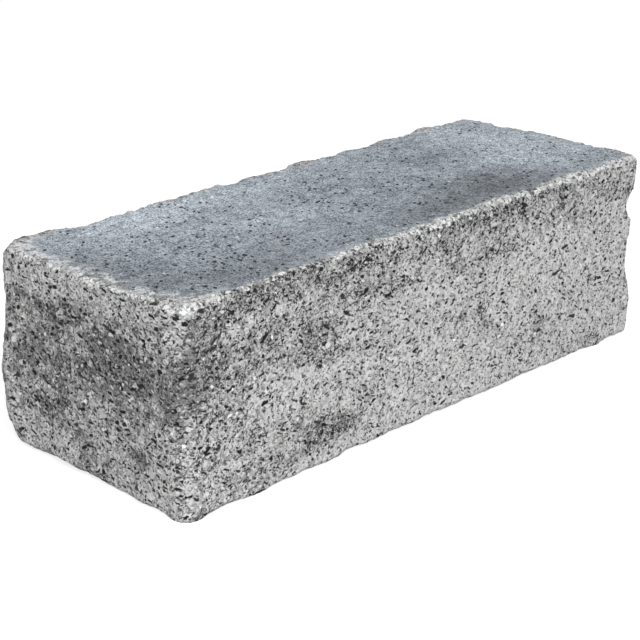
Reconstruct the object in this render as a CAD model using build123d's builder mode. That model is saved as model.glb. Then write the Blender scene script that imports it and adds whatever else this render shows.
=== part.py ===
"""Split-face concrete block for a dry or mortared garden wall.

The real block is pressed in a mould as part of a larger slab, whose top and bottom keep the
flat mould finish and become the block's two beds. The slab is then cracked apart along its
four sides, which leaves them as fracture faces, and the loose blocks are tumbled, which wears
their arrises round and knocks chips out of them. The solid is made in the same order.

Frame: X runs along the block, Y from front to back and Z up, with the origin at the middle of
the lower bed. Lengths are in millimetres and angles in degrees.
"""

import os
from dataclasses import dataclass
from math import cos, exp, pi, radians, sin, tan

from build123d import *

# The block between the mean planes of its fractures, and between its beds
length = 398.0
depth = 149.0
height = 120.0

# The slab is larger than the block by this waste on every side
waste = 25.0

# Wear of the four upright corners, and of the arrises round the two beds, whose bevel comes
# and goes along them by the swing given
front_left_radius = 11.0
back_left_radius = 8.0
back_right_radius = 6.0
front_right_radius = 5.0
arris_bevel = 2.4
bevel_swing = 0.8
bevel_spacing = 64.0

# Spacing of the points that a fracture surface passes through
relief_pitch = 12.0

half_length = length / 2
half_depth = depth / 2
half_height = height / 2


@dataclass
class Wave:
    """An undulation that runs right across a face: crest spacing, heading, rise and start."""

    spacing: float
    heading: float
    rise: float
    start: float

    def at(self, across, up):
        along = across * cos(radians(self.heading)) + up * sin(radians(self.heading))
        return self.rise * sin(2 * pi * (along - self.start) / self.spacing)


@dataclass
class Swell:
    """A local boss, or a hollow where the rise is negative: its middle, reach and rise."""

    across: float
    up: float
    reach: float
    rise: float

    def at(self, across, up):
        away = (across - self.across) ** 2 + (up - self.up) ** 2
        return self.rise * exp(-away / self.reach**2)


def turned_towards(face, direction):
    """The face, turned round if need be so that its normal has the given direction."""
    return face if face.normal_at().dot(direction) > 0 else -face


@dataclass
class Fracture:
    """The surface along which one side of the slab cracks.

    Across and up are measured from the middle of the side, and relief is positive outwards.
    Yaw swings the side about the vertical, twist is the change of yaw from the lower bed to
    the upper one, and lean tips the top of the side outwards.
    """

    side: Plane
    run: float
    shapes: list
    yaw: float = 0.0
    twist: float = 0.0
    lean: float = 0.0

    def relief(self, across, up):
        yaw = self.yaw + self.twist * up / height
        tilt = across * tan(radians(yaw)) + up * tan(radians(self.lean))
        return tilt + sum(shape.at(across, up) for shape in self.shapes)

    def point(self, across, up):
        return self.side.from_local_coords(Vector(across, up, self.relief(across, up)))

    def stations(self):
        half_run = self.run / 2 + waste + relief_pitch
        steps = round(2 * half_run / relief_pitch)
        return [half_run * (2 * i / steps - 1) for i in range(steps + 1)]

    def crack(self):
        half_rise = height / 2 + relief_pitch
        steps = round(2 * half_rise / relief_pitch)
        ups = [half_rise * (2 * j / steps - 1) for j in range(steps + 1)]
        rows = [[self.point(across, up) for up in ups] for across in self.stations()]
        return turned_towards(Face.make_surface_from_array_of_points(rows), self.side.z_dir)

    def worn_arris(self, bed):
        """The bevel between this side and a bed, 1 for the upper and -1 for the lower."""
        rows = []
        for across in self.stations():
            bevel = arris_bevel + bevel_swing * sin(2 * pi * (across + bed * self.run) / bevel_spacing)
            edge = self.relief(across, bed * half_height)
            row = []
            for step in (-1, -0.5, 0, 0.5, 1):
                down = step * relief_pitch
                row.append(Vector(across, bed * (half_height - down), edge - bevel + down))
            rows.append([self.side.from_local_coords(point) for point in row])
        outward = self.side.z_dir + bed * self.side.y_dir
        return turned_towards(Face.make_surface_from_array_of_points(rows), outward)


@dataclass
class Chip:
    """A shallow bowl knocked out of an arris or a corner.

    The place is a point of the unworn edge, outward is the way that the edge looks, bite is
    how far in from that point the hollow goes, and bowl is the radius it is struck with.
    """

    place: Vector
    outward: Vector
    bite: float
    bowl: float

    def centre(self):
        return self.place + self.outward.normalized() * (self.bowl - self.bite)


front = Fracture(
    side=Plane((0, -half_depth, half_height), x_dir=(1, 0, 0), z_dir=(0, -1, 0)),
    run=length,
    lean=-1.2,
    shapes=[
        Wave(spacing=235, heading=10, rise=0.5, start=-60),
        Wave(spacing=124, heading=-36, rise=0.5, start=60),
        Wave(spacing=78, heading=68, rise=0.4, start=5),
        Swell(across=half_length - 70, up=-half_height, reach=60, rise=1.8),
        Swell(across=-half_length + 58, up=-half_height, reach=50, rise=2.0),
        Swell(across=-half_length + 105, up=26, reach=26, rise=-1.3),
    ],
)
back = Fracture(
    side=Plane((0, half_depth, half_height), x_dir=(-1, 0, 0), z_dir=(0, 1, 0)),
    run=length,
    yaw=0.6,
    lean=-0.5,
    shapes=[
        Wave(spacing=190, heading=-9, rise=0.8, start=-40),
        Wave(spacing=97, heading=31, rise=0.6, start=22),
        Swell(across=half_length - 22, up=half_height, reach=22, rise=3.5),
        Swell(across=half_length, up=-half_height + 42, reach=28, rise=6.0),
        Swell(across=-half_length + 50, up=half_height, reach=60, rise=-1.8),
    ],
)
left_end = Fracture(
    side=Plane((-half_length, 0, half_height), x_dir=(0, -1, 0), z_dir=(-1, 0, 0)),
    run=depth,
    yaw=0.8,
    twist=-0.6,
    lean=0.8,
    shapes=[
        Wave(spacing=150, heading=48, rise=0.7, start=12),
        Wave(spacing=86, heading=-22, rise=0.5, start=-16),
        Swell(across=half_depth - 20, up=-half_height, reach=55, rise=2.0),
    ],
)
right_end = Fracture(
    side=Plane((half_length, 0, half_height), x_dir=(0, 1, 0), z_dir=(1, 0, 0)),
    run=depth,
    lean=2.4,
    shapes=[
        Wave(spacing=140, heading=-50, rise=0.7, start=-8),
        Wave(spacing=92, heading=25, rise=0.5, start=20),
        Swell(across=10, up=half_height, reach=60, rise=3.4),
        Swell(across=-half_depth + 4, up=-half_height + 20, reach=24, rise=4.0),
        Swell(across=-half_depth + 4, up=half_height - 12, reach=22, rise=3.2),
    ],
)

outward_left = Vector(-1, 0, 0)
outward_right = Vector(1, 0, 0)
outward_front = Vector(0, -1, 0)
outward_back = Vector(0, 1, 0)
up_over = Vector(0, 0, 1)
down_under = Vector(0, 0, -1)

front_left_corner = outward_front + outward_left
back_left_corner = outward_back + outward_left
front_right_corner = outward_front + outward_right
back_right_corner = outward_back + outward_right

chips = [
    # The corners that show
    Chip(back.point(half_length, half_height), back_left_corner + up_over, bite=6.5, bowl=60),
    Chip(front.point(-half_length, half_height), front_left_corner + up_over, bite=6.5, bowl=110),
    Chip(front.point(-half_length, -half_height), front_left_corner + down_under, bite=3.4, bowl=70),
    Chip(back.point(half_length, -half_height), back_left_corner + down_under, bite=8, bowl=120),
    # The upright corner at the right of the front
    Chip(front.point(half_length, half_height - 34), front_right_corner, bite=4.6, bowl=14),
    Chip(front.point(half_length, -half_height + 46), front_right_corner, bite=3.4, bowl=26),
    # Along the upper bed
    Chip(front.point(half_length - 62, half_height), outward_front + up_over, bite=2.8, bowl=70),
    Chip(back.point(-half_length + 26, half_height), outward_back + up_over, bite=3.6, bowl=46),
    Chip(back.point(-half_length + 104, half_height), outward_back + up_over, bite=3.2, bowl=60),
    Chip(back.point(half_length - 219, half_height), outward_back + up_over, bite=3.2, bowl=38),
    Chip(back.point(half_length - 74, half_height), outward_back + up_over, bite=2.6, bowl=54),
    Chip(right_end.point(24, half_height), outward_right + up_over, bite=2.6, bowl=44),
    # Along the lower bed
    Chip(front.point(half_length - 45, -half_height), outward_front + down_under, bite=2.0, bowl=34),
    Chip(front.point(-half_length + 128, -half_height), outward_front + down_under, bite=2.6, bowl=64),
    Chip(left_end.point(-half_depth + 40, -half_height), outward_left + down_under, bite=4, bowl=420),
    Chip(back.point(34, -half_height), outward_back + down_under, bite=2.8, bowl=56),
]

with BuildPart() as wall_block:
    slab_length = length + 2 * waste
    slab_depth = depth + 2 * waste
    Box(slab_length, slab_depth, height, align=(Align.CENTER, Align.CENTER, Align.MIN))
    for fracture in (front, back, left_end, right_end):
        split(bisect_by=fracture.crack(), keep=Keep.BOTTOM)

    for corner, radius in (
        (front_left_corner, front_left_radius),
        (back_left_corner, back_left_radius),
        (back_right_corner, back_right_radius),
        (front_right_corner, front_right_radius),
    ):
        uprights = wall_block.edges().filter_by(lambda edge: edge.bounding_box().size.Z > half_height)
        fillet(uprights.sort_by(lambda edge: edge.center().dot(corner))[-1], radius)

    for fracture in (front, back, left_end, right_end):
        for bed in (1, -1):
            split(bisect_by=fracture.worn_arris(bed), keep=Keep.BOTTOM)

    for chip in chips:
        with Locations(chip.centre()):
            Sphere(chip.bowl, mode=Mode.SUBTRACT)

wall_block.part.label = "wall_block"
os.makedirs("parts", exist_ok=True)
export_step(wall_block.part, "parts/wall_block.step")
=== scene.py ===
# %% [markdown]
# # A split-face garden wall block
#
# The real block is one piece of pressed concrete. Two faces, the beds, keep the smooth skin of
# the mould. The other four were cracked open, so they show the mix itself: pale paste, small
# pale pebbles and dark splinters of stone. Tumbling has worn and chipped every edge.
#
# The CAD model gives the block's true size and the broad waves of its faces. This lesson loads
# that model, lays a fine skin of points over it, roughens the skin as broken concrete is rough,
# and then colours it with patterns that have the real mix's sizes in millimetres.

# %% Load the block's CAD model
import math

import bpy
import numpy as np
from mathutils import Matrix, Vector


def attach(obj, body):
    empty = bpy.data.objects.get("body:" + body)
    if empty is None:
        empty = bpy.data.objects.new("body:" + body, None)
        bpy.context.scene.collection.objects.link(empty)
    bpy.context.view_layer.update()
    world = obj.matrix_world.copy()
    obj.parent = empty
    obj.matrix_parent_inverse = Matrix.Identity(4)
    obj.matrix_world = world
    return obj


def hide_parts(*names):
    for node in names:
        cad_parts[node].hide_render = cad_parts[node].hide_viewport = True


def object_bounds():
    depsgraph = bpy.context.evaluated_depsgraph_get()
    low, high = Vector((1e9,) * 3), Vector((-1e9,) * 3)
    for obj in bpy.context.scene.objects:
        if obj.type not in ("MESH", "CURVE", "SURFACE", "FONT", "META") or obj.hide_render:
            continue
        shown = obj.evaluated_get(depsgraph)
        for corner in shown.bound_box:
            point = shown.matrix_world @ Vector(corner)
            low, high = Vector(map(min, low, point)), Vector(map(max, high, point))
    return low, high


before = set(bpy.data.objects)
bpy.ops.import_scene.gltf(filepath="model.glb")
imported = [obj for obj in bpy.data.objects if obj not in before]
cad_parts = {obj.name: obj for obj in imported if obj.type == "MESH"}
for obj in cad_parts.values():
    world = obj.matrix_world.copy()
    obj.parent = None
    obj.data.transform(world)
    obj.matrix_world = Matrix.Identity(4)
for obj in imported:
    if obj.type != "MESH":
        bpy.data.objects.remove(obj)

MM = 0.001

cad_low, cad_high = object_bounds()
cad_low = [float(v) for v in cad_low]
cad_high = [float(v) for v in cad_high]
solid_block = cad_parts["wall_block"]
left_x, front_y = cad_low[0] / MM, cad_low[1] / MM
back_y, block_height = cad_high[1] / MM, cad_high[2] / MM
print("CAD block, mm:", [round((b - a) / MM, 1) for a, b in zip(cad_low, cad_high)])

# %% [markdown]
# ## The camera
#
# The photograph was taken from a little above, looking at the corner between the long front
# and the left end. A long lens from over a metre away keeps the perspective gentle. The angles,
# the distance and the lens were fitted to the corners of the block in the photograph.

# %% Set the camera where the photograph was taken
view_azimuth = math.radians(-46.50)
view_elevation = math.radians(20.42)
view_distance = 1.1474
view_target = Vector((-0.0440, -0.0249, 0.0600))
focal_length_px = 1952.2
picture_width_px = 640
sensor_width = 36.0


def direction(azimuth, elevation):
    """The unit vector towards a place that is given by two angles, with azimuth 0 in front."""
    return Vector((math.sin(azimuth) * math.cos(elevation),
                   -math.cos(azimuth) * math.cos(elevation),
                   math.sin(elevation)))


camera_data = bpy.data.cameras.new("photo_camera")
camera_data.sensor_width = sensor_width
camera_data.lens = focal_length_px * sensor_width / picture_width_px
camera = bpy.data.objects.new("photo_camera", camera_data)
towards_camera = direction(view_azimuth, view_elevation)
camera.location = view_target + towards_camera * view_distance
camera.rotation_euler = towards_camera.to_track_quat("Z", "Y").to_euler()
bpy.context.collection.objects.link(camera)
bpy.context.scene.camera = camera
bpy.context.scene.view_settings.view_transform = "Standard"
print("lens", round(camera_data.lens, 1), "mm at", [round(v, 3) for v in camera.location])

# %% [markdown]
# ## Random numbers that stay put
#
# Broken concrete is irregular at every size, and the same irregularity has to come out each time
# the script runs. So the randomness is a formula: whole-number cells of space are scrambled into
# numbers between 0 and 1. Smooth noise blends the numbers of the eight cells round a point.
# Pebble noise looks for the nearest of one random point in each cell.

# %% Noise for whole arrays of points
def scramble(cells, seed):
    """A number from 0 to 1 for each whole-number cell.

    The three cell numbers are multiplied by large odd numbers, mixed bit by bit, and the last
    24 bits are read as a fraction.
    """
    c = cells.astype(np.int64).astype(np.uint32)
    mixed = c[..., 0] * np.uint32(73856093)
    mixed ^= c[..., 1] * np.uint32(19349663)
    mixed ^= c[..., 2] * np.uint32(83492791)
    mixed ^= np.uint32((seed * 2654435761) & 0xFFFFFFFF)
    mixed ^= mixed >> np.uint32(15)
    mixed *= np.uint32(2246822519)
    mixed ^= mixed >> np.uint32(13)
    mixed *= np.uint32(3266489917)
    mixed ^= mixed >> np.uint32(16)
    return (mixed & np.uint32(0xFFFFFF)) / float(0xFFFFFF)


def smooth_noise(points, size, seed):
    """Gradient noise of about -1 to 1 with features of the given size.

    Each lattice corner has a random slope. A point's value is the blend of the eight slopes
    round it, each times the way from its corner, with weights 6t^5 - 15t^4 + 10t^3.
    """
    usual_height = 1.6
    p = points / size
    base = np.floor(p)
    t = p - base
    ease = t * t * t * (t * (t * 6 - 15) + 10)
    total = np.zeros(len(p))
    for corner in np.ndindex(2, 2, 2):
        corner = np.array(corner)
        cell = base + corner
        slope = np.stack([scramble(cell, seed + axis) * 2 - 1 for axis in range(3)], axis=-1)
        weight = np.prod(np.where(corner == 1, ease, 1 - ease), axis=-1)
        total += weight * np.sum(slope * (t - corner), axis=-1)
    return total * usual_height


def layered_noise(points, size, seed, layers, fade):
    """Smooth noise at a size, then at half that size and `fade` of the height, and so on."""
    total = np.zeros(len(points))
    height = 1.0
    for layer in range(layers):
        total += height * smooth_noise(points, size / 2**layer, seed + 17 * layer)
        height *= fade
    return total


def pebble_noise(points, size, seed):
    """The nearest pebble of a random packing, with one pebble in each cell of the given size.

    Gives the distances of the nearest and the second nearest pebble's middle, in cell sizes,
    and three numbers from 0 to 1 that belong to the nearest.
    """
    p = points / size
    base = np.floor(p)
    nearest = np.full(len(p), np.inf)
    second = np.full(len(p), np.inf)
    owner = np.zeros_like(p)
    for step in np.ndindex(3, 3, 3):
        cell = base + (np.array(step) - 1)
        middle = cell + np.stack([scramble(cell, seed + axis) for axis in range(3)], axis=-1)
        offset = p - middle
        distance = np.sqrt(np.sum(offset * offset, axis=-1))
        closer = distance < nearest
        second = np.where(closer, nearest, np.minimum(second, distance))
        nearest = np.where(closer, distance, nearest)
        owner = np.where(closer[:, None], cell, owner)
    traits = np.stack([scramble(owner, seed + 7 + n) for n in range(3)], axis=-1)
    return nearest, second, traits


def ramp(values, low, high):
    """0 below low, 1 above high, and a smooth S-curve between (high may be the smaller)."""
    t = np.clip((values - low) / (high - low), 0, 1)
    return t * t * (3 - 2 * t)


trial = smooth_noise(np.linspace([0, 0, 0], [100, 70, 30], 1000), 5.0, 1)
print("noise along a line goes from", round(trial.min(), 2), "to", round(trial.max(), 2))

# %% [markdown]
# ## A fine skin over the solid
#
# The CAD solid has facets of some millimetres, too coarse for the relief of broken concrete.
# A remesh would be fine enough, but it blurs every arris. So a new skin is laid round the block.
# Its points lie on a lattice, as on the surface of a block of small cubes: the six sides share
# their edge points, and the skin is closed. Near an edge the lattice lines fan out round the
# corner, up to 45 degrees on each side of it. A fan's foot is so deep inside the block that no
# straight line passes beside a face, and the skin starts far enough out to clear the corners.

# %% Lay a lattice of points round the block
skin_pitch = 1.0
box_gap = 4.0
fan_depth = 23.0
fan_steps = 18
start_room = 12.0

half_size = np.array([(b - a) / 2 / MM for a, b in zip(cad_low, cad_high)]) + box_gap
middle = np.array([(b + a) / 2 / MM for a, b in zip(cad_low, cad_high)])


def lattice_line(half):
    """Along one axis: where each lattice plane stands, and how far its rays lean outwards.

    Planes in the straight stretch stand a pitch apart and don't lean. The planes of the fan
    all stand at its end, and lean by the tangent of an angle that grows to 45 degrees.
    """
    reach = half - fan_depth
    count = int(round(2 * reach / skin_pitch))
    stand = np.linspace(-reach, reach, count + 1)
    lean = np.tan(np.radians(45) * np.arange(1, fan_steps + 1) / fan_steps)
    place = np.concatenate([np.full(fan_steps, -reach), stand, np.full(fan_steps, reach)])
    tangent = np.concatenate([-lean[::-1], np.zeros(count + 1), lean])
    return place, tangent


def box_surface_lattice(counts):
    """Numbers the lattice points on the box's surface and joins them in quads facing outwards."""
    on_surface = np.ones(counts, dtype=bool)
    on_surface[1:-1, 1:-1, 1:-1] = False
    number = np.full(counts, -1, dtype=np.int64)
    number[on_surface] = np.arange(on_surface.sum())
    quads = []
    for axis in range(3):
        for end, flip in ((0, axis != 1), (-1, axis == 1)):
            sheet = np.take(number, end, axis=axis)
            loop = [sheet[:-1, :-1], sheet[1:, :-1], sheet[1:, 1:], sheet[:-1, 1:]]
            if flip:
                loop = loop[::-1]
            quads.append(np.stack(loop, axis=-1).reshape(-1, 4))
    return np.argwhere(on_surface), np.concatenate(quads)


lines = [lattice_line(half) for half in half_size]
lattice, quads = box_surface_lattice([len(place) for place, tangent in lines])
rays = np.stack([lines[axis][1][lattice[:, axis]] for axis in range(3)], axis=-1)
rays /= np.linalg.norm(rays, axis=-1, keepdims=True)
feet = np.stack([lines[axis][0][lattice[:, axis]] for axis in range(3)], axis=-1)
start = middle + feet + rays * (fan_depth + start_room)
print("skin lattice:", len(start), "points,", len(quads), "quads")

# %% [markdown]
# ## Push the skin in
#
# Each point is then pushed straight in until it meets the CAD solid. Blender's Shrinkwrap
# modifier does this for the whole mesh, and it stops on the facets' true surface, where a search
# for the nearest vertex would jump from one corner of a facet to the next.

# %% Push the skin in until it meets the solid
def mesh_from_arrays(name, points_mm, polygons):
    """A mesh of points in millimetres, and of quads given by their points' numbers."""
    mesh = bpy.data.meshes.new(name)
    corners = polygons.shape[1]
    mesh.vertices.add(len(points_mm))
    mesh.vertices.foreach_set("co", (points_mm * MM).astype(np.float32).ravel())
    mesh.loops.add(polygons.size)
    mesh.loops.foreach_set("vertex_index", polygons.astype(np.int32).ravel())
    mesh.polygons.add(len(polygons))
    mesh.polygons.foreach_set("loop_start", np.arange(0, polygons.size, corners, dtype=np.int32))
    mesh.update(calc_edges=True)
    mesh.validate()
    return mesh


def points_of(mesh):
    """The mesh's points in millimetres."""
    flat = np.empty(len(mesh.vertices) * 3, dtype=np.float32)
    mesh.vertices.foreach_get("co", flat)
    return flat.reshape(-1, 3).astype(float) / MM


def with_modifiers(thing):
    """A new mesh of the object as its modifiers leave it."""
    return bpy.data.meshes.new_from_object(thing.evaluated_get(bpy.context.evaluated_depsgraph_get()))


skin = bpy.data.objects.new("skin", mesh_from_arrays("skin", start, quads))
bpy.context.collection.objects.link(skin)
wrap = skin.modifiers.new("lay_on_solid", "SHRINKWRAP")
wrap.target = solid_block
wrap.wrap_method = "PROJECT"
wrap.use_negative_direction = True
wrap.use_positive_direction = False
surface = points_of(with_modifiers(skin))
bpy.data.objects.remove(skin)
pushed = np.linalg.norm(surface - start, axis=-1)
print("pushed in by", round(pushed.min(), 2), "to", round(pushed.max(), 2), "mm")

# %% [markdown]
# ## Which side a point belongs to
#
# The beds and the broken faces are treated differently, so each point has to know how far it is
# from the beds and how far inside the block's outline it lies. The outline of a bed is read off
# the skin itself: in each narrow band across it, the first and the last point on the bed.

# %% Measure how far each point is from the arrises
bed_reach = 0.1
outline_band = 2.0


def bed_outline(bed_points, along, across):
    """How far a bed reaches, low and high, at each place along it.

    The bed's points are sorted into bands along one axis, and the least and the greatest reach
    across are taken in each band.
    """
    place = bed_points[:, along]
    reach = bed_points[:, across]
    start_at = place.min()
    number = ((place - start_at) / outline_band).astype(int)
    low = np.full(number.max() + 1, np.inf)
    high = np.full(number.max() + 1, -np.inf)
    np.minimum.at(low, number, reach)
    np.maximum.at(high, number, reach)
    return start_at + outline_band * (np.arange(len(low)) + 0.5), low, high


def inside_outline(points):
    """How far inside the outline of the nearer bed each point lies, in millimetres.

    For each bed, the four gaps to its outline along X and Y are found, and the least one is kept.
    """
    x, y, z = points.T
    distance = np.zeros(len(points))
    in_top_half = z > block_height / 2
    for bed, mine in ((z < bed_reach, ~in_top_half), (z > block_height - bed_reach, in_top_half)):
        x_places, y_low, y_high = bed_outline(points[bed], 0, 1)
        y_places, x_low, x_high = bed_outline(points[bed], 1, 0)
        gaps = np.stack([
            y - np.interp(x, x_places, y_low),
            np.interp(x, x_places, y_high) - y,
            x - np.interp(y, y_places, x_low),
            np.interp(y, y_places, x_high) - x,
        ]).min(axis=0)
        distance = np.where(mine, gaps, distance)
    return distance


inside = inside_outline(surface)
below_bed = np.minimum(surface[:, 2], block_height - surface[:, 2])
arris_gap = np.hypot(np.maximum(inside, 0), below_bed)
print("deepest inside an outline:", round(inside.max(), 1), "mm")

# %% [markdown]
# ## Wear along the arrises
#
# Tumbling blocks against each other rounds their arrises. The CAD model has them as plain bevels.
# Here the points near an arris are relaxed: each one moves part of the way to the mean of its
# neighbours, some rounds over, which turns the bevel and the facets beside it into a soft round.

# %% Round the bevels
full_wear, wear_end = 2.5, 6.0
relaxing_share = 0.5
relaxing_rounds = 4


def normals_of(points, polygons):
    """Outward unit normals at the points.

    A quad's normal is the cross product of its diagonals. A point's is the sum of its quads'.
    """
    first = points[polygons[:, 2]] - points[polygons[:, 0]]
    second = points[polygons[:, 3]] - points[polygons[:, 1]]
    quad_normals = np.repeat(np.cross(first, second), 4, axis=0)
    corners = polygons.ravel()
    total = np.stack([np.bincount(corners, weights=quad_normals[:, axis], minlength=len(points))
                      for axis in range(3)], axis=-1)
    return total / np.linalg.norm(total, axis=-1, keepdims=True)


def relaxed(points, polygons, share):
    """Moves each point its share of the way to the mean of its neighbours, a number of times.

    Every edge is walked once each way, since the two quads beside it turn in opposite ways.
    """
    here = polygons.ravel()
    there = np.roll(polygons, -1, axis=1).ravel()
    neighbours = np.bincount(here, minlength=len(points))
    for step in range(relaxing_rounds):
        mean = np.stack([np.bincount(here, weights=points[there, axis], minlength=len(points))
                         for axis in range(3)], axis=-1) / neighbours[:, None]
        points = points + share[:, None] * (mean - points)
    return points


worn_share = relaxing_share * ramp(arris_gap, wear_end, full_wear)
base = relaxed(surface, quads, worn_share)
outward = normals_of(relaxed(base, quads, np.full(len(base), relaxing_share)), quads)
print("arris points moved at most", round(np.linalg.norm(base - surface, axis=-1).max(), 2), "mm")

# %% [markdown]
# ## The relief of broken concrete
#
# A crack runs through the paste but mostly round the stones. So the broken faces show soft steps
# and hollows from the crack's path, domes where pebbles stand out, and pits where pebbles
# stayed in the other half. Each is a height in millimetres, worked out from the point's place.
# Sculpting could do it by hand, but not the same each time.

# %% Heights of the broken faces
def crack_steps(points):
    """Rolling relief of the crack: 0.85 mm times noise 28 mm long, in four layers.

    A second noise, folded at zero and turned upside down, adds soft ridges 0.45 mm high.
    """
    rolling = layered_noise(points, size=28.0, seed=11, layers=4, fade=0.52)
    ridges = 0.5 - np.abs(smooth_noise(points, size=11.0, seed=41))
    return 0.85 * rolling + 0.45 * ridges


def standing_pebbles(points):
    """Domes over two sizes of pebble, each a half circle from the pebble's rim to its top."""
    height = np.zeros(len(points))
    for size, rise, seed, share in ((6.5, 0.55, 61, 0.45), (3.6, 0.32, 71, 0.55)):
        nearest, second, traits = pebble_noise(points, size, seed)
        radius = 0.28 + 0.2 * traits[:, 0]
        dome = np.sqrt(np.clip(1 - (nearest / radius) ** 2, 0, 1))
        height += rise * dome * (traits[:, 1] < share)
    return height


def lost_pebbles(points):
    """Pits where a pebble was pulled out: bowls 1.1 mm deep, 1 - d^2, in 4 of 10 cells of 8 mm."""
    nearest, second, traits = pebble_noise(points, size=8.0, seed=83)
    radius = 0.16 + 0.2 * traits[:, 0]
    bowl = np.clip(1 - (nearest / radius) ** 2, 0, 1)
    return -1.1 * bowl * (traits[:, 1] < 0.4)


broken_relief = crack_steps(base) + standing_pebbles(base) + lost_pebbles(base)
print("broken relief, mm:", np.round(np.percentile(broken_relief, [1, 25, 50, 75, 99]), 2))

# %% [markdown]
# ## The crumbled arrises
#
# Where two faces meet, the crack's edge has crumbled: small round stones stand in a row, and
# bites show where some are gone. The photograph also shows single knobs and bites along the
# block's outline. They are soft bumps listed one by one, since a formula can't know where they are.

# %% Crumbs, knobs and bites
def crumbled_edge(points):
    """Crumbs along the arrises: round stones packed side by side, with bites where some are gone.

    A crumb's height is 1 at its middle and falls with the square of the distance. Next to a
    neighbour, where the two nearest middles are about as far, it drops into a crease.
    """
    nearest, second, traits = pebble_noise(points, size=4.6, seed=97)
    crease = np.clip((second - nearest) / 0.22, 0, 1)
    crumbs = (1.0 - 1.3 * nearest**2) * (0.45 + 0.55 * crease) * (0.5 + 0.5 * traits[:, 0])
    nearest, second, traits = pebble_noise(points, size=9.0, seed=91)
    bites = np.clip(1 - (nearest / (0.3 + 0.3 * traits[:, 0])) ** 2, 0, 1) * (traits[:, 1] < 0.4)
    return 1.3 * crumbs - 0.75 - 1.5 * bites + 0.4 * smooth_noise(points, size=3.0, seed=107)


# Knobs and bites that the photograph shows along the outline: place, reach and height in mm
outline_knobs = [
    ((-179, 76, 118), 9, 1.8), ((-159, 75, 120), 7, 1.8), ((-140, 75, 120), 7, -1.4),
    ((-80, 75, 119), 9, 1.5), ((-60, 75, 120), 8, 1.2), ((-20, 75, 120), 7, -1.6),
    ((40, 75, 119), 9, 2.8), ((82, 75, 119), 8, 1.0), ((118, 75, 119), 7, 2.2),
    ((158, 75, 119), 10, 2.8), ((198, 74, 120), 9, -1.2),
    ((-199, 76, 20), 9, 1.9), ((-200, 76, 48), 9, 1.3), ((-200, -72, 122), 9, -1.0),
    ((-201, 74, 116), 9, -2.2), ((-200, 76, 2), 13, -2.2),
    ((200, -74, 72), 7, 1.0), ((200, -74, 22), 8, -0.2), ((201, -74, 111), 6, 0.5),
    ((204, -56, 118), 8, 1.6), ((204, -4, 119), 26, 1.4), ((204, 38, 119), 7, -1.8),
    ((-196, -72, 3), 9, 2.4), ((-199, -37, 3), 10, 1.2), ((-199, 18, 3), 14, 1.0),
    ((-150, -76, 3), 12, 1.6), ((-130, -76, 3), 9, -1.0), ((-92, -76, 3), 13, 1.6),
    ((0, -76, 3), 12, -1.3), ((161, -75, 3), 11, 2.6),
]
crumbled_width, extra_width_on_left = 2.8, 1.4
most_hollow = 3
clearance = 0.02

on_face = 1 - ramp(np.abs(outward[:, 2]), 0.80, 0.97)
wide_wear = ramp(base[:, 0], left_x + 26, left_x + 8)
near_arris = np.exp(-(arris_gap / (crumbled_width + extra_width_on_left * wide_wear)) ** 2)
crumbling = np.where(base[:, 2] > block_height / 2, 0.9, 0.3)
relief = on_face * broken_relief
relief *= 1 - 0.5 * near_arris
relief += near_arris * crumbling * crumbled_edge(base)
relief -= 0.12 * (1 - on_face) * (1 + smooth_noise(base, size=35.0, seed=113))
hollow = np.clip(relief, -most_hollow, most_hollow)
for place, reach, rise in outline_knobs:
    relief += rise * np.exp(-np.sum((base - np.array(place)) ** 2, axis=-1) / reach**2)
rough = base + outward * relief[:, None]
rough = np.clip(rough, np.array(cad_low) / MM + clearance, np.array(cad_high) / MM - clearance)
print("relief of the broken faces, mm:", np.round(np.percentile(relief[on_face > 0.9],
      [1, 25, 50, 75, 99]), 2))

# %% [markdown]
# ## One mesh of fewer triangles
#
# The skin has over half a million triangles, many of them on the flat beds where nothing happens.
# A collapse takes out the edges that matter least, so the triangles stay where the relief is.
# The measures that the colours need travel with the points as attributes.

# %% Make the block's mesh
most_triangles = 198000
longest_arris_gap = 60


def set_measure(mesh, name, values):
    """Stores one number for each point of a mesh."""
    layer = mesh.attributes.new(name, "FLOAT", "POINT")
    layer.data.foreach_set("value", values.astype(np.float32))


dense = mesh_from_arrays("dense_block", rough, quads)
set_measure(dense, "arris_gap", np.clip(arris_gap, 0, longest_arris_gap))
set_measure(dense, "hollow", hollow)
set_measure(dense, "cast_skin", 1 - on_face)
dense_block = bpy.data.objects.new("dense_block", dense)
bpy.context.collection.objects.link(dense_block)
collapse = dense_block.modifiers.new("collapse", "DECIMATE")
collapse.ratio = most_triangles / (2 * len(quads))
split_mesh = with_modifiers(dense_block)
split_mesh.name = "split_block"
split_mesh.polygons.foreach_set("use_smooth", np.ones(len(split_mesh.polygons), dtype=bool))
bpy.data.objects.remove(dense_block)
split_block = bpy.data.objects.new("split_block", split_mesh)
bpy.context.collection.objects.link(split_block)
print("block:", len(split_mesh.polygons), "faces from", len(quads), "quads")

# %% [markdown]
# ## The block in its frame
#
# The rough block takes the place of the CAD model's one piece. It moves with the block's only
# body and wears the one material that the block is made of.

# %% Set the block in the frame
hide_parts("wall_block")
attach(split_block, "root")
print("set in the frame:", split_block.name)
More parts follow.
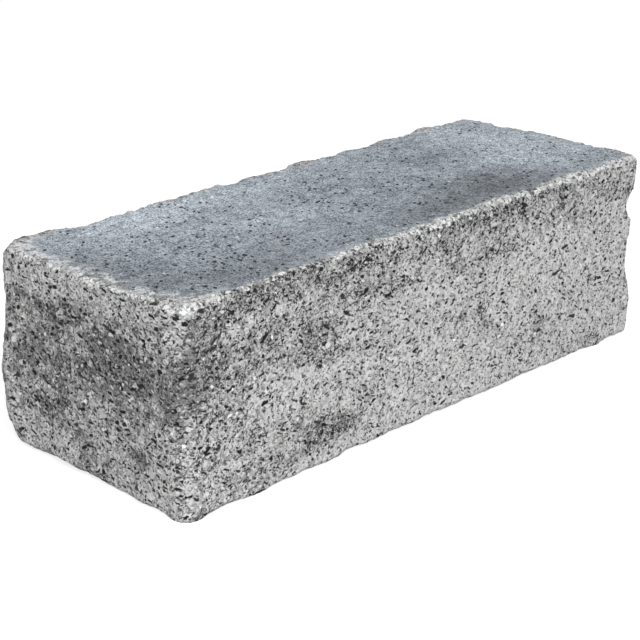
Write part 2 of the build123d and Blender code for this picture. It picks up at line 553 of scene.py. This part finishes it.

# %% [markdown]
# ## Clouds of pigment and stains
#
# Some things in the look are larger than the mix: clouds of darker pigment, and places where soil
# has stained the face. They change slowly, so a number at each point of the mesh is enough, and
# numpy works them out as it did the relief. The patches that the photograph shows are listed one
# by one, in millimetres along each face. A patch of positive strength is darker.

# %% Lay clouds over the three sides that the photograph shows
front_patches = [
    (-186, 82, 27, 27, 0.95), (-134, 91, 14, 8, 0.35), (-190, 36, 14, 14, -0.2),
    (-190, 66, 12, 9, 0.45), (-72, 108, 34, 8, 0.35), (62, 34, 14, 8, 0.6),
    (34, 54, 16, 7, 0.35), (14, 89, 30, 8, 0.4), (36, 68, 16, 8, 0.4), (-124, 60, 26, 14, 0.3),
    (158, 108, 12, 7, 0.35), (158, 13, 14, 9, 0.45), (110, 70, 12, 8, 0.5),
    (184, 107, 12, 8, 0.35), (110, 108, 9, 6, -0.3), (-92, 81, 11, 4, 0.9), (-62, 94, 26, 5, 0.5),
    (-100, 76, 26, 9, 0.15), (-90, 21, 34, 11, 0.65), (-78, 6, 30, 7, -0.3),
    (-154, 14, 30, 10, 0.6), (62, 108, 60, 8, 0.35), (136, 104, 10, 9, 0.3),
    (-150, 110, 34, 8, 0.6), (-92, 68, 18, 8, 0.4), (-8, 106, 30, 8, 0.2), (42, 45, 12, 7, 0.55),
    (72, 22, 9, 5, 0.3), (148, 8, 16, 5, 0.6), (-122, 52, 24, 10, -0.4), (20, 20, 42, 20, -0.95),
    (-40, 20, 26, 14, -0.25), (80, 72, 60, 16, -0.4), (156, 45, 38, 28, -0.75),
    (85, 10, 26, 10, -0.5),
]
end_patches = [
    (-8, 13, 34, 9, 0.45), (-45, 108, 22, 7, 0.45), (20, 36, 30, 8, -0.3), (28, 92, 17, 8, 0.75),
    (18, 99, 6, 4, 0.8), (9, 69, 9, 7, 0.6), (-19, 86, 15, 7, 1.0), (-23, 88, 6, 4, 0.8),
    (-46, 76, 28, 14, 0.75), (-16, 68, 26, 9, 0.6), (62, 70, 14, 12, 0.3), (6, 51, 20, 8, -0.3),
    (38, 34, 13, 6, 1.0), (-41, 27, 9, 6, 0.7), (-20, 26, 14, 12, -0.6), (-62, 26, 16, 16, -0.7),
    (50, 8, 30, 9, -1.1), (-50, 6, 30, 9, -1.0),
]
wide_end_patches = [(0, 60, 120, 70, 0.26), (-4, 112, 70, 10, -0.9)]
top_patches = [
    (96, -44, 38, 24, 1.1), (-186, 32, 16, 28, 0.4), (36, 36, 14, 12, 0.45),
    (-72, -22, 34, 16, 0.3), (158, 62, 12, 12, -0.5), (44, -54, 60, 24, 0.95),
    (104, 18, 24, 11, 0.6), (36, 10, 26, 24, 0.3), (-150, -8, 34, 20, 0.4),
    (-130, -52, 60, 24, 0.85), (10, -60, 50, 16, 0.4), (-186, -4, 16, 50, 0.4),
    (140, -66, 40, 10, 0.5), (-30, -20, 60, 16, 0.35), (-19, 15, 6, 4, 0.8), (-10, 18, 4, 3, -0.9),
    (-118, 56, 40, 18, -0.8), (166, 14, 26, 44, -0.9), (140, -20, 16, 22, -0.5),
    (-10, 56, 120, 20, -0.5), (-60, -4, 40, 16, -0.3),
]


def patch(points, centre, reach, strength):
    """A soft patch: the strength times exp(-d^2), d being the way from the centre over the reach."""
    away = (points - np.array(centre)) / np.array(reach)
    return strength * np.exp(-np.sum(away * away, axis=-1))


def patches_on_side(points, first_axis, second_axis, level, depth, patches):
    """The sum of one side's patches, which reach to the given depth on both sides of its level.

    Each patch has its place along the side's two axes, its reach along them and its strength.
    """
    total = np.zeros(len(points))
    for first, second, first_reach, second_reach, strength in patches:
        centre = np.full(3, float(level))
        reach = np.full(3, float(depth))
        centre[[first_axis, second_axis]] = first, second
        reach[[first_axis, second_axis]] = first_reach, second_reach
        total += patch(points, centre, reach, strength)
    return total


points = points_of(split_mesh)
flattened = points * np.array([0.7, 0.7, 1.2])
clouds = 0.33 * layered_noise(flattened, size=42.0, seed=131, layers=3, fade=0.6)
clouds += patches_on_side(points, 0, 2, front_y, 12, front_patches)
clouds += patches_on_side(points, 1, 2, left_x, 12, end_patches)
clouds += patches_on_side(points, 1, 2, left_x, 14, wide_end_patches)
clouds += patches_on_side(points, 0, 1, block_height, 9, top_patches)
set_measure(split_mesh, "clouds", np.clip(clouds, -1, 1.2))
print("clouds:", np.round(np.percentile(clouds, [5, 50, 95]), 2))

# %% [markdown]
# ## Where the cast skin has worn
#
# The bluish skin of the beds is gone along the arrises, most of all round the left end and its two
# upper corners, and pale dust whitens the near arrises. The mix also looks coarser towards the
# left end. Each of these is again a number at each point of the mesh.

# %% Measure the wear
gap_to_arris = np.empty(len(points), dtype=np.float32)
split_mesh.attributes["arris_gap"].data.foreach_get("value", gap_to_arris)
near_front = ramp(points[:, 1], front_y + 18, front_y + 8)
near_left = ramp(points[:, 0], left_x + 26, left_x + 11)
near_corner = patch(points, (left_x + 8, front_y + 8, block_height), (20, 20, 20), 1.0)
far_corner = patch(points, (left_x + 8, back_y - 10, block_height), (24, 18, 20), 1.0)
wear_width = 0.5 + 1.6 * layered_noise(points, size=16.0, seed=151, layers=3, fade=0.7)
wear_width += 0.6 * near_front + 2.2 * near_left + 8.0 * near_corner + 6.5 * far_corner
edge_softness = 1 + 1.2 * near_left + 0.6 * near_corner
skin_inside = np.clip((gap_to_arris - wear_width) / edge_softness, -20, 60)
set_measure(split_mesh, "scuffing", np.clip(0.2 + near_left + near_corner + far_corner, 0, 1))
set_measure(split_mesh, "skin_depth", skin_inside)

whitening = near_front * (0.4 + 0.6 * ramp(points[:, 0], -90, 20)) + 0.45 * near_left
whitening += 0.35 * near_corner + 0.3 * far_corner + 0.6 * smooth_noise(points, size=15.0, seed=157)
whitening *= np.maximum(np.maximum(near_front, near_left), near_corner)
whitening = np.clip(whitening, 0, 1.2) * (points[:, 2] > block_height / 2)
set_measure(split_mesh, "whitening", whitening)
print("skin worn off:", round(100 * float((skin_inside < 0).mean())), "% of the points")

# %% Measure where the mix is coarse
coarse = ramp(points[:, 0], left_x + 95, left_x + 8)
plain_band = np.maximum(ramp(points[:, 2], 30, 12), ramp(points[:, 2], 98, 108))
coarse *= 1 - 0.4 * plain_band * ramp(points[:, 0], left_x + 22, left_x + 8)
set_measure(split_mesh, "end_share", ramp(points[:, 0], left_x + 16, left_x + 6))
set_measure(split_mesh, "coarse", coarse)
print("coarse mix:", round(100 * float((coarse > 0.5).mean())), "% of the points")

# %% [markdown]
# ## Writing a material as a recipe
#
# A material in Blender is a net of small nodes. Long nets are easier to read when each line
# says what is done to what, so the class below gives short names to the few nodes that the
# concrete needs. A number is written into a node's socket, and another node's result is linked.

# %% Short calls for shader nodes
class Recipe:
    """Builds a material's nodes. Every call adds nodes and gives back their result."""

    def __init__(self, name):
        self.material = bpy.data.materials.new(name)
        self.material.use_nodes = True
        self.tree = self.material.node_tree
        self.surface = self.tree.nodes["Principled BSDF"]
        coordinates = self.tree.nodes.new("ShaderNodeTexCoord")
        self.place = self.scaled(coordinates.outputs["Object"], 1 / MM)

    def give(self, value, socket):
        """Links a result to a socket, or writes a number or a colour into it."""
        if isinstance(value, bpy.types.NodeSocket):
            self.tree.links.new(value, socket)
        else:
            socket.default_value = value

    def add(self, kind, inputs=(), **settings):
        """Adds a node of a kind, with its settings and its first inputs."""
        node = self.tree.nodes.new("ShaderNode" + kind)
        for key, value in settings.items():
            setattr(node, key, value)
        for socket, value in zip(node.inputs, inputs):
            self.give(value, socket)
        return node

    def math(self, operation, *values):
        """One number from one, two or three."""
        return self.add("Math", values, operation=operation).outputs[0]

    def times(self, first, second):
        """The product of two numbers."""
        return self.math("MULTIPLY", first, second)

    def plus(self, first, second):
        """The sum of two numbers."""
        return self.math("ADD", first, second)

    def minus(self, first, second):
        """The first number less the second."""
        return self.math("SUBTRACT", first, second)

    def greater(self, first, second):
        """The greater of two numbers."""
        return self.math("MAXIMUM", first, second)

    def line(self, value, slope, level):
        """The slope times the value, plus the level."""
        return self.math("MULTIPLY_ADD", value, slope, level)

    def vector(self, operation, *values):
        """One vector from vectors."""
        return self.add("VectorMath", values, operation=operation).outputs[0]

    def scaled(self, vector, factor):
        """The vector times a number."""
        node = self.add("VectorMath", [vector], operation="SCALE")
        self.give(factor, node.inputs["Scale"])
        return node.outputs[0]

    def curve(self, value, low, high, bottom=0.0, top=1.0):
        """A smooth S-curve from `bottom` at low to `top` at high."""
        return self.add("MapRange", [value, low, high, bottom, top],
                        interpolation_type="SMOOTHSTEP").outputs[0]

    def measure(self, name):
        """A number that the mesh carries at its points."""
        return self.add("Attribute", attribute_name=name).outputs["Fac"]

    def blend(self, factor, first, second):
        """A colour between two others."""
        node = self.add("Mix", data_type="RGBA", blend_type="MIX")
        for index, value in ((0, factor), (6, first), (7, second)):
            self.give(value, node.inputs[index])
        return node.outputs[2]

    def between(self, factor, first, second):
        """A number between two others."""
        node = self.add("Mix", data_type="FLOAT")
        for index, value in ((0, factor), (2, first), (3, second)):
            self.give(value, node.inputs[index])
        return node.outputs[0]

    def noise(self, size, detail, roughness, stretch=None, shift=0.0):
        """Smooth noise with features of a size in millimetres, centred on 0 and about 1 wide."""
        place = self.place
        if stretch:
            place = self.vector("MULTIPLY", place, stretch)
        if shift:
            place = self.vector("ADD", place, (shift, shift * 1.7, shift * 0.6))
        node = self.add("TexNoise", [place], noise_dimensions="3D")
        for key, value in (("Scale", 0.6 / size), ("Detail", detail), ("Roughness", roughness)):
            self.give(value, node.inputs[key])
        return self.line(node.outputs[0], 3.0, -1.5)

    def bent(self, amount, size, shift=0.0):
        """The place, pushed about by some millimetres, so that what is drawn there is uneven."""
        place = self.vector("ADD", self.place, (shift, shift * 0.4, shift * 2.1))
        node = self.add("TexNoise", [place], noise_dimensions="3D")
        self.give(0.6 / size, node.inputs["Scale"])
        self.give(1.0, node.inputs["Detail"])
        push = self.vector("SUBTRACT", node.outputs["Color"], (0.5, 0.5, 0.5))
        return self.vector("ADD", self.place, self.scaled(push, 4 * amount))

    def cells(self, place, size, shift, stretch=None, feature="F1"):
        """A random packing with one stone in each cell of a size in millimetres."""
        if stretch:
            place = self.vector("MULTIPLY", place, stretch)
        place = self.vector("ADD", place, (shift, shift * 0.7, shift * 1.3))
        place = self.scaled(place, 1 / size)
        node = self.add("TexVoronoi", [place], voronoi_dimensions="3D", feature=feature)
        self.give(1.0, node.inputs["Scale"])
        return place, node

    def odds(self, packing):
        """Three random numbers that belong to the stone of each cell."""
        traits = self.add("TexWhiteNoise", [packing.outputs["Position"]], noise_dimensions="3D")
        return self.add("SeparateColor", [traits.outputs["Color"]]).outputs

    def count(self):
        """How many nodes the material has so far."""
        return len(self.tree.nodes)


concrete = Recipe("split_concrete")
print("an empty recipe:", concrete.count(), "nodes")

# %% [markdown]
# ## Splinters, strokes and pebbles
#
# Dark splinters are flat, sharp stones that lie roughly level, because the mix was pressed from
# above. Each one is a small box in its own cell of space, turned at random about the upright axis
# and tilted a little. The face cuts through it, so it shows as a sliver or a wedge. Strokes are
# the thin dark lines where the face crosses a gap beside a stone. Pebbles are uneven balls of
# mixed sizes, some pale and some grey, with a dark line where the paste shrank away.

# %% Stones of the mix
def splinters(mix, place, size, half_lengths, share, shift):
    """A mask of splinters, 1 on stone and 0 off it, and a random number for each.

    The way from the stone's middle is turned into the stone's own axes and divided by its half
    lengths. The stone is where a blend of the greatest of the three and their length is below 1.
    Only a share of the cells holds a stone, and the stones' sizes differ.
    """
    most_turn = (1.5, 1.5, 6.28)
    spot, packing = mix.cells(place, size, shift)
    way = mix.scaled(mix.vector("SUBTRACT", spot, packing.outputs["Position"]), size)
    turn = mix.vector("SUBTRACT", packing.outputs["Color"], (0.5, 0.5, 0.5))
    turned = mix.add("VectorRotate", rotation_type="EULER_XYZ")
    mix.give(way, turned.inputs["Vector"])
    mix.give(mix.vector("MULTIPLY", turn, most_turn), turned.inputs["Rotation"])
    odds = mix.odds(packing)
    grown = mix.line(odds[0], 0.9, 0.45)
    reach = mix.vector("DIVIDE", turned.outputs[0], half_lengths)
    parts = mix.add("SeparateXYZ", [mix.vector("ABSOLUTE", reach)])
    boxy = mix.greater(mix.greater(parts.outputs[0], parts.outputs[1]), parts.outputs[2])
    length = mix.add("VectorMath", [reach], operation="LENGTH").outputs["Value"]
    edge = mix.plus(mix.times(boxy, 0.65), mix.times(length, 0.3))
    stone = mix.curve(mix.math("DIVIDE", edge, grown), 1.1, 0.86)
    kept = mix.math("LESS_THAN", odds[1], share)
    return mix.times(stone, kept), odds[2]


def strokes(mix, size, width, gate, shift):
    """Thin curved lines: where one noise passes through zero, in the parts where another is high.

    The width is a share of the noise's own height. Below the gate nothing is drawn.
    """
    flattening = (1, 1, 1.1)
    line = mix.math("ABSOLUTE", mix.noise(size, 1.0, 0.5, stretch=flattening, shift=shift))
    drawn = mix.curve(line, width, width * 0.45)
    parts = mix.noise(size * 0.8, 1.0, 0.5, shift=shift + 13)
    return mix.times(drawn, mix.curve(mix.minus(parts, gate), 0.0, 0.1))


def pebbles(mix, place, size, least, most, share, shift, squash=1.25):
    """Masks of round stones and of the dark lines round them, and a random number for each.

    A stone's radius is between the least and the most, and its masks are curves of the distance
    over the radius. The squash is how many times flatter than wide a stone is.
    """
    spot, packing = mix.cells(place, size, shift, stretch=(1, 1, squash))
    odds = mix.odds(packing)
    radius = mix.line(odds[0], (most - least) / size, least / size)
    ratio = mix.math("DIVIDE", packing.outputs["Distance"], radius)
    kept = mix.math("LESS_THAN", odds[1], share)
    stone = mix.times(mix.curve(ratio, 1.05, 0.85), kept)
    rim = mix.times(mix.curve(ratio, 0.86, 1.0), mix.curve(ratio, 1.35, 1.1))
    return stone, mix.times(rim, kept), odds[2]


print("stones and gaps:", [maker.__name__ for maker in (splinters, strokes, pebbles)])

# %% [markdown]
# ## Paste and sand
#
# The colours are laid over each other in the order in which the mix is made, and the pale grey
# paste comes first. It is darker where the clouds are, its grains are a millimetre or two wide,
# and single grains of sand are white or grey. Noise gives the paste and a packing gives the sand,
# because sand has edges and paste has none.

# %% Colour the paste and the sand
times, plus, minus, greater = concrete.times, concrete.plus, concrete.minus, concrete.greater
line, curve, blend, between = concrete.line, concrete.curve, concrete.blend, concrete.between
noise, cells, measure = concrete.noise, concrete.cells, concrete.measure

clouds_here = measure("clouds")
coarse_here = measure("coarse")
end_here = measure("end_share")

paste_pale = (0.66, 0.66, 0.66, 1)
paste_grey = (0.43, 0.43, 0.43, 1)
murk_dark = (0.11, 0.11, 0.11, 1)
pebble_white = (0.86, 0.855, 0.84, 1)
pebble_grey = (0.22, 0.22, 0.22, 1)

patchy = times(noise(6.0, 3.0, 0.65), between(coarse_here, 0.5, 1.1))
murk = curve(plus(clouds_here, patchy), -0.15, 0.85)
murk_depth = between(end_here, 0.5, 0.78)
grain_tone = noise(1.6, 3.0, 0.75, stretch=(1, 1, 1.25), shift=5)
paste = blend(curve(grain_tone, -0.8, 0.35), paste_grey, paste_pale)
paste = blend(times(murk, murk_depth), paste, murk_dark)

sand_size = 1.4
sand_cells = cells(concrete.place, sand_size, 17.0)[1]
sand_tone = concrete.add("SeparateColor", [sand_cells.outputs["Color"]]).outputs[0]
paste = blend(curve(sand_tone, 0.7, 0.95, 0.0, 0.38), paste, pebble_white)
paste = blend(curve(sand_tone, 0.35, 0.05, 0.0, 0.6), paste, pebble_grey)
print("with paste and sand:", concrete.count(), "nodes")

# %% [markdown]
# ## Pebbles and gaps
#
# The mix holds pebbles of 1 to 6 mm, pale or grey. They show best in the coarse and the dark
# parts, where less paste covers them. A thin dark arc beside a pebble is the gap that the crack
# left. The strokes are such gaps too, and there are more of them where the mix is rough.

# %% Colour the pebbles
gap_dark = (0.035, 0.035, 0.035, 1)

uneven_place = concrete.bent(0.55, 2.2)
big_pebble, big_rim, big_odds = pebbles(
    concrete, uneven_place, size=6.4, least=1.2, most=2.9, share=0.65, shift=31.0)
small_pebble, small_rim, small_odds = pebbles(
    concrete, uneven_place, size=3.6, least=0.6, most=1.5, share=0.6, shift=47.0)
pebble_shows = between(greater(murk, coarse_here), 0.25, 0.8)
arc = curve(noise(2.2, 1.0, 0.5, shift=151), -0.1, 0.3)
rim_shows = times(pebble_shows, arc)
broken = blend(times(small_rim, rim_shows), paste, gap_dark)
broken = blend(times(big_rim, rim_shows), broken, gap_dark)
small_colour = blend(curve(small_odds, 0.35, 0.6), pebble_grey, pebble_white)
broken = blend(times(small_pebble, pebble_shows), broken, small_colour)
big_colour = blend(curve(big_odds, 0.3, 0.6), pebble_grey, pebble_white)
broken = blend(times(big_pebble, times(pebble_shows, 0.7)), broken, big_colour)
print("with pebbles:", concrete.count(), "nodes")

# %% Colour the gaps
rough_mix = greater(murk, times(coarse_here, 0.45))
stroke_gate = between(rough_mix, 0.2, -0.45)
stroke = strokes(concrete, size=2.8, width=0.11, gate=stroke_gate, shift=59.0)
fine_stroke = strokes(concrete, size=1.6, width=0.12, gate=stroke_gate, shift=67.0)
faint_stroke = strokes(concrete, size=2.0, width=0.10, gate=-0.15, shift=79.0)
faint_depth = between(rough_mix, 0.16, 0.4)
gap = greater(stroke, times(fine_stroke, 0.8))
gap = greater(gap, times(faint_stroke, faint_depth))
broken = blend(times(gap, between(end_here, 0.9, 0.7)), broken, gap_dark)
print("with gaps:", concrete.count(), "nodes")

# %% [markdown]
# ## Splinters and white grit
#
# The black splinters are what catches the eye: three sizes, up to 7 mm long, crowded where the
# mix is rough and sparse elsewhere. Here and there a grain of white grit stands among them. Both
# are the same small boxes, long and thin for the splinters and nearly cubes for the grit.

# %% Colour the splinters and the grit
stone_black = (0.008, 0.008, 0.009, 1)
stone_dark = (0.045, 0.046, 0.05, 1)
grit_white = (0.95, 0.945, 0.93, 1)

splinter_place = concrete.bent(0.5, 1.6, 11.0)
large_share = between(rough_mix, 0.12, 0.7)
small_share = between(rough_mix, 0.42, 1.0)
grit_share = between(rough_mix, 0.015, 0.06)
large_splinter = splinters(concrete, splinter_place, 6.0, (3.5, 1.2, 0.8), large_share, 71.0)[0]
middle_splinter, middle_odds = splinters(
    concrete, splinter_place, 3.7, (2.4, 0.8, 0.55), small_share, 83.0)
speck = splinters(concrete, splinter_place, 2.0, (1.1, 0.5, 0.4), small_share, 97.0)[0]
grit, grit_odds = splinters(concrete, splinter_place, 3.3, (1.3, 1.0, 0.85), grit_share, 131.0)
splinter = greater(large_splinter, greater(middle_splinter, times(speck, 0.85)))
splinter_colour = blend(curve(middle_odds, 0.4, 1.0), stone_black, stone_dark)
broken = blend(times(splinter, 0.98), broken, splinter_colour)
grit_colour = blend(curve(grit_odds, 0.0, 1.0), paste_pale, grit_white)
broken = blend(grit, broken, grit_colour)
print("with splinters:", concrete.count(), "nodes")

# %% [markdown]
# ## The cast skin
#
# Over the beds lies the skin that the mould left: bluish, finely flecked, and full of pores.
# The pores are drawn a little longer along the camera's line of sight: painted shade of their
# inner walls seen slantwise. The pores are balls drawn out in depth, which makes a round dot
# wherever the bed cuts them.

# %% Colour the cast skin
skin_blue = (0.315, 0.358, 0.402, 1)
skin_dark = (0.075, 0.09, 0.11, 1)
skin_light = (0.66, 0.705, 0.75, 1)
pore_dark = (0.015, 0.018, 0.022, 1)
worn_white = (0.91, 0.92, 0.92, 1)
pore_squash = 0.15
sight_line_angle = math.radians(43)
sight_line_stretch = 1.7

flecks = noise(0.55, 1.0, 0.6, shift=33)
blots = noise(2.6, 2.0, 0.6, shift=35)
tone = plus(flecks, times(blots, 0.4))
skin = blend(curve(tone, 0.0, 0.4, 0.0, 0.8), skin_blue, skin_light)
skin = blend(curve(tone, -0.1, -0.45, 0.0, 0.85), skin, skin_dark)

skin_mottle = times(noise(9.0, 4.0, 0.7, shift=21), 0.5)
skin_tone = minus(skin_mottle, clouds_here)
pore_crowd = plus(noise(11.0, 2.0, 0.5, shift=27), times(skin_tone, -0.3))
pore_share = curve(pore_crowd, -0.5, 0.6, 0.12, 0.75)
# painted shade: the pores are stretched along the camera's line of sight, for the shade seen inside
# them
sight_stretched_place = concrete.add(
    "Mapping", [uneven_place, (0, 0, 0), (0, 0, sight_line_angle), (sight_line_stretch, 1, 1)],
    vector_type="TEXTURE").outputs[0]
pore = pebbles(concrete, sight_stretched_place, size=2.8, least=0.3, most=1.15, share=pore_share,
               shift=113.0, squash=pore_squash)[0]
chalk = pebbles(concrete, uneven_place, size=4.1, least=0.4, most=1.2, share=0.1,
                shift=127.0, squash=pore_squash)[0]
scratch = strokes(concrete, size=4.2, width=0.08, gate=0.28, shift=73.0)
skin = blend(times(pore, 0.97), skin, pore_dark)
skin = blend(times(scratch, 0.7), skin, pore_dark)
skin = blend(times(chalk, 0.8), skin, worn_white)
skin_gain = line(skin_tone, 0.44, 0.925)
skin = concrete.scaled(skin, greater(skin_gain, 0.4))
print("with the cast skin:", concrete.count(), "nodes")

# %% [markdown]
# ## Where the skin has worn through
#
# The skin's edge is ragged: noise of two sizes is added to the depth inside the edge before the
# edge is drawn. Inside it the skin is scuffed pale. Outside it the mix shows, scoured and grey,
# and the crumbs along the arris are white with dust, dimmed by painted shade in hollows and in the
# creases between them.

# %% Wear the skin
skin_warm = (0.21, 0.215, 0.22, 1)

crumbs = noise(2.6, 4.0, 0.8, shift=41)
lumps = noise(5.0, 2.0, 0.6, shift=43)
ragged_depth = plus(measure("skin_depth"), times(crumbs, 2.6))
ragged_depth = plus(ragged_depth, times(lumps, 1.8))
on_bed_here = curve(measure("cast_skin"), 0.5, 0.9)
skin_kept = times(curve(ragged_depth, -0.1, 0.3), on_bed_here)
scuffed = curve(plus(ragged_depth, times(flecks, 8.0)), 3.0, 1.0, 0.0, 0.75)
scuffed = times(scuffed, measure("scuffing"))
scuff_colour = blend(curve(blots, -0.2, 0.2), skin_warm, worn_white)
skin = blend(scuffed, skin, scuff_colour)
scoured_tone = plus(tone, times(crumbs, 0.8))
scoured = blend(curve(scoured_tone, -0.3, 0.25), murk_dark, worn_white)
broken = blend(times(on_bed_here, 0.4), broken, scoured)
print("with worn skin:", concrete.count(), "nodes")

# %% Whiten the arrises, with painted shade in their hollows and creases
crumb_size = 4.0

arris_here = measure("arris_gap")
hollow_here = measure("hollow")
whitening_here = measure("whitening")
crumb_edges = cells(uneven_place, crumb_size, 137.0, feature="DISTANCE_TO_EDGE")[1]
crumb_body = curve(crumb_edges.outputs["Distance"], 0.02, 0.10)
crumb_cells = cells(uneven_place, crumb_size, 137.0)[1]
crumb_tone = concrete.add("SeparateColor", [crumb_cells.outputs["Color"]]).outputs[0]
lumpy_edge = plus(times(lumps, 2.2), line(crumb_tone, 2.4, -1.2))
white_reach = plus(times(whitening_here, 3.4), lumpy_edge)
pale_arris = times(curve(minus(white_reach, arris_here), 0.0, 0.8),
                   curve(whitening_here, 0.05, 0.3))
pale_border = times(curve(ragged_depth, -2.4, -0.8),
                    curve(plus(lumps, whitening_here), 0.3, 0.6))
pale_edge_and_crease_shade = greater(pale_arris, times(pale_border, on_bed_here))
# painted shade: the white is dimmed where the relief is hollow and in the creases between crumbs
pale_edge_and_crease_shade = times(pale_edge_and_crease_shade, curve(hollow_here, -0.9, 0.2, 0.3, 0.9))
pale_edge_and_crease_shade = times(pale_edge_and_crease_shade, between(crumb_body, 0.45, 1.0))
pale_edge_and_crease_shade = times(pale_edge_and_crease_shade, line(splinter, -0.75, 1.0))
broken = blend(pale_edge_and_crease_shade, broken, worn_white)
colour = blend(skin_kept, broken, skin)
print("with white arrises:", concrete.count(), "nodes")

# %% [markdown]
# ## Relief finer than the mesh
#
# Sand, small pebbles and pores are finer than the triangles, so their relief is a bump: the light
# falls as if the surface rose and sank by tenths of a millimetre. The gaps and the splinters lie
# deeper than the paste. Broken concrete is dull, and the cast skin a little less so.

# %% Add the bump and finish the material
broken_roughness, skin_roughness = 0.93, 0.72
dull_specular = 0.2
grain_rise, sand_rise, pebble_rise, fleck_rise = 0.2, 0.12, 0.2, 0.09
splinter_dip, gap_dip, pore_dip = 0.25, 0.2, 0.3

height = plus(times(grain_tone, grain_rise), times(sand_tone, sand_rise))
height = plus(height, times(small_pebble, pebble_rise))
height = minus(height, times(splinter, splinter_dip))
height = minus(height, times(gap, gap_dip))
height = plus(height, times(crumb_body, curve(arris_here, 6.0, 2.0, 0.0, 0.5)))
skin_height = minus(times(flecks, fleck_rise), times(pore, pore_dip))
bump = concrete.add("Bump")
concrete.give(1.0, bump.inputs["Strength"])
concrete.give(MM, bump.inputs["Distance"])
concrete.give(between(skin_kept, height, skin_height), bump.inputs["Height"])

roughness = between(skin_kept, broken_roughness, skin_roughness)
concrete.give(colour, concrete.surface.inputs["Base Color"])
concrete.give(roughness, concrete.surface.inputs["Roughness"])
concrete.give(bump.outputs["Normal"], concrete.surface.inputs["Normal"])
concrete.give(dull_specular, concrete.surface.inputs["Specular IOR Level"])
split_mesh.materials.append(concrete.material)
print("concrete:", concrete.count(), "nodes")

# %% [markdown]
# ## The floor
#
# The block stands on a plain white floor. To the camera the floor is almost a lamp itself, so it
# shows as white and keeps only a faint shadow at the block's foot. To the block it is a plain
# white floor, which throws some light back up. A mix by the kind of ray chooses between the two.

# %% Make the floor
floor_half = 4.0
floor_white = 0.85
shown_glow = 0.78
shown_shade = 0.40

floor_mesh = bpy.data.meshes.new("floor")
floor_mesh.from_pydata([(-floor_half, -floor_half, 0), (floor_half, -floor_half, 0),
                        (floor_half, floor_half, 0), (-floor_half, floor_half, 0)],
                       [], [(0, 1, 2, 3)])
floor = bpy.data.objects.new("floor", floor_mesh)
bpy.context.collection.objects.link(floor)
print("floor:", 2 * floor_half, "m wide")

# %% Paint the floor
def added(tree, kind, *results):
    """Adds a node of a kind and links results of other nodes to its first inputs."""
    node = tree.nodes.new("ShaderNode" + kind)
    for socket, result in zip(node.inputs, results):
        tree.links.new(result, socket)
    return node


def camera_or_glossy(tree):
    """1 for what the camera sees, straight or in a gloss or through glass, and 0 for other light."""
    path = added(tree, "LightPath")
    result = path.outputs["Is Camera Ray"]
    for name in ("Is Glossy Ray", "Is Transmission Ray"):
        greatest = added(tree, "Math", result, path.outputs[name])
        greatest.operation = "MAXIMUM"
        result = greatest.outputs[0]
    return result


def matte(tree, grey):
    """A matte surface of one grey."""
    node = added(tree, "BsdfDiffuse")
    node.inputs["Color"].default_value = (grey, grey, grey, 1)
    return node.outputs[0]


floor_paint = bpy.data.materials.new("floor_paint")
floor_paint.use_nodes = True
floor_tree = floor_paint.node_tree
floor_tree.nodes.remove(floor_tree.nodes["Principled BSDF"])
glow = added(floor_tree, "Emission")
glow.inputs["Strength"].default_value = shown_glow
shown_floor = added(floor_tree, "AddShader", matte(floor_tree, shown_shade), glow.outputs[0])
floor_choice = added(floor_tree, "MixShader", camera_or_glossy(floor_tree),
                     matte(floor_tree, floor_white), shown_floor.outputs[0])
floor_tree.links.new(floor_choice.outputs[0], floor_tree.nodes["Material Output"].inputs["Surface"])
floor_mesh.materials.append(floor_paint)
print("floor paint:", len(floor_tree.nodes), "nodes")

# %% [markdown]
# ## The light
#
# The photograph has soft studio light, brightest on the long front. A pale sky lights every side
# evenly, and one large lamp on the front's side, high up, adds soft shading to the relief. To
# the camera the sky is pure white, which is the photograph's background.

# %% Light the block
sky_level = 0.47
shown_white = 1.0
lamp_azimuth, lamp_elevation = math.radians(-36), math.radians(42)
lamp_distance = 2.0
lamp_width = 0.9
lamp_power = 27.0
lamp_target = Vector((0, 0, 0.06))

world = bpy.data.worlds.new("studio")
world.use_nodes = True
bpy.context.scene.world = world
sky = world.node_tree.nodes["Background"]
sky.inputs["Color"].default_value = (1, 1, 1, 1)
sky_strength = added(world.node_tree, "Mix", camera_or_glossy(world.node_tree))
sky_strength.data_type = "FLOAT"
sky_strength.inputs[2].default_value = sky_level
sky_strength.inputs[3].default_value = shown_white
world.node_tree.links.new(sky_strength.outputs[0], sky.inputs["Strength"])

lamp_data = bpy.data.lights.new("key_lamp", "AREA")
lamp_data.size = lamp_width
lamp_data.energy = lamp_power
key_lamp = bpy.data.objects.new("key_lamp", lamp_data)
towards_lamp = direction(lamp_azimuth, lamp_elevation)
key_lamp.location = lamp_target + towards_lamp * lamp_distance
key_lamp.rotation_euler = towards_lamp.to_track_quat("Z", "Y").to_euler()
key_lamp.visible_camera = False
bpy.context.collection.objects.link(key_lamp)
print("key lamp at", [round(v, 2) for v in key_lamp.location])
